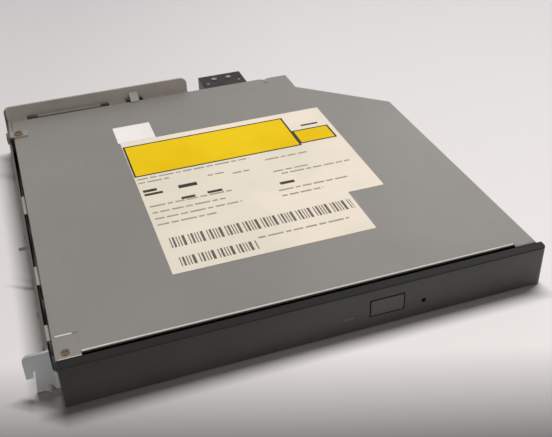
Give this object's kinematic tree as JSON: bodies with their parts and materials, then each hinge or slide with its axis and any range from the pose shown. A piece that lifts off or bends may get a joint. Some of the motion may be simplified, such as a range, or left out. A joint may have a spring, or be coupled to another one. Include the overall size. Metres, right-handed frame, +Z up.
{
  "type": "slim optical disc drive",
  "caption": "Slim tray-load optical disc drive: flat sheet-metal case with one cut corner, sliding disc tray behind a dark bezel, and a side mounting bracket.",
  "frame": {"origin": "centre of the flat underside of the case, without the bezel and the bracket", "axes": "+X to the right seen from the front, +Y from the bezel to the rear connectors, +Z up out of the cover"},
  "size_m": [0.1372, 0.1412, 0.0175],
  "materials": {
    "zinc_steel": "zinc-coated sheet, matt",
    "zinc_steel_cover": "matt grey coated sheet",
    "black_screw": "black oxide",
    "rail_steel": "rolled steel",
    "circuit_board": "solder mask over laminate",
    "chip": "moulded package",
    "connector_plastic": "moulded black",
    "bright_pin": "plated",
    "white_plastic": "moulded natural",
    "spring_wire": "drawn wire",
    "ribbon": "polyimide film",
    "bracket_steel": "dull zinc",
    "copper_screw": "dull plated",
    "label_paper": "printed matt",
    "tray_plastic": "moulded, fine texture",
    "bezel_plastic": "moulded, fine texture",
    "clear_window": "smoked translucent",
    "led_resin": "tinted resin",
    "damper_rubber": "moulded",
    "polished_steel": "ground",
    "copper_coils": "enamelled wire",
    "brass_sleeve": "sintered",
    "black_steel": "black coated",
    "hub_plastic": "moulded",
    "sled_metal": "die cast",
    "lens_glass": "polished"
  },
  "bodies": {
    "chassis": {"base_plate": "zinc_steel", "top_cover": "zinc_steel_cover", "cover_screws": "black_screw", "left_fixed_rail": "rail_steel", "right_fixed_rail": "rail_steel", "latch_post": "rail_steel", "rear_board": "circuit_board", "rear_board_screws": "black_screw", "rear_board_chips": "chip", "host_connector": "connector_plastic", "connector_adapter": "connector_plastic", "adapter_pins": "bright_pin", "ejector_housing": "white_plastic", "ejector_spring": "spring_wire", "ribbon_cable": "ribbon", "mounting_bracket": "bracket_steel", "bracket_screw": "copper_screw", "main_label": "label_paper", "tab_label": "label_paper"},
    "tray": {"tray": "tray_plastic", "bezel": "bezel_plastic", "light_pipe": "clear_window", "main_board": "circuit_board", "board_chips": "chip", "eject_switch": "white_plastic", "status_led": "led_resin", "tray_screws": "black_screw", "deck_frame": "rail_steel", "deck_dampers": "damper_rubber", "deck_screws": "black_screw", "guide_rods": "polished_steel", "sled_motor": "polished_steel", "motor_board": "circuit_board", "spindle_stator": "copper_coils", "spindle_bearing": "brass_sleeve", "deck_cover": "black_steel", "latch_pin": "polished_steel", "latch_solenoid": "copper_coils", "ribbon_socket": "white_plastic"},
    "left_slide": {"left_slide": "rail_steel"},
    "right_slide": {"right_slide": "rail_steel"},
    "eject_button": {"eject_button": "bezel_plastic"},
    "spindle": {"spindle_rotor": "rail_steel", "turntable": "hub_plastic", "turntable_pad": "damper_rubber", "disc_claws": "hub_plastic"},
    "pickup": {"pickup_sled": "sled_metal", "sled_nut": "white_plastic", "lens_magnets": "polished_steel"},
    "lens": {"lens_holder": "hub_plastic", "objective_lens": "lens_glass"},
    "lead_screw": {"lead_screw": "polished_steel"},
    "latch": {"latch_lever": "white_plastic"},
    "ejector": {"ejector_plunger": "white_plastic"}
  },
  "joints": [
    {"name": "tray_slide", "type": "slide", "parent": "chassis", "child": "tray", "axis": [0, -1, 0], "range_m": [0, 0.122], "deforming": ["ribbon_cable"]},
    {"name": "left_slide_run", "type": "slide", "parent": "chassis", "child": "left_slide", "axis": [0, -1, 0], "range_m": [0, 0.061]},
    {"name": "right_slide_run", "type": "slide", "parent": "chassis", "child": "right_slide", "axis": [0, -1, 0], "range_m": [0, 0.061]},
    {"name": "ejector_push", "type": "slide", "parent": "chassis", "child": "ejector", "axis": [0, -1, 0], "range_m": [0, 0.012], "deforming": ["ejector_spring"]},
    {"name": "eject_button_press", "type": "slide", "parent": "tray", "child": "eject_button", "axis": [0, 1, 0], "range_m": [0, 0.0006], "stiffness_N_per_m": 800},
    {"name": "spindle_spin", "type": "hinge", "parent": "tray", "child": "spindle", "pos_m": [0, -0.0015, 0.0094], "axis": [0, 0, 1], "continuous": true},
    {"name": "pickup_travel", "type": "slide", "parent": "tray", "child": "pickup", "axis": [-0.7071, -0.7071, 0], "range_m": [0, 0.034]},
    {"name": "lead_screw_spin", "type": "hinge", "parent": "tray", "child": "lead_screw", "pos_m": [-0.00743, -0.0365, 0.0039], "axis": [-0.7071, -0.7071, 0], "continuous": true},
    {"name": "lens_focus", "type": "slide", "parent": "pickup", "child": "lens", "axis": [0, 0, 1], "range_m": [-0.0004, 0.0004], "stiffness_N_per_m": 60},
    {"name": "latch_swing", "type": "hinge", "parent": "tray", "child": "latch", "pos_m": [0.0365, -0.052, 0.0046], "axis": [0, 0, 1], "range_deg": [0, 14]}
  ],
  "couplings": [
    {"joint": "left_slide_run", "follows": "tray_slide", "ratio": 0.5},
    {"joint": "right_slide_run", "follows": "tray_slide", "ratio": 0.5},
    {"joint": "ejector_push", "follows": "tray_slide", "ratio": 0.098361},
    {"joint": "lead_screw_spin", "follows": "pickup_travel", "rad_per_m": 2094.4}
  ]
}
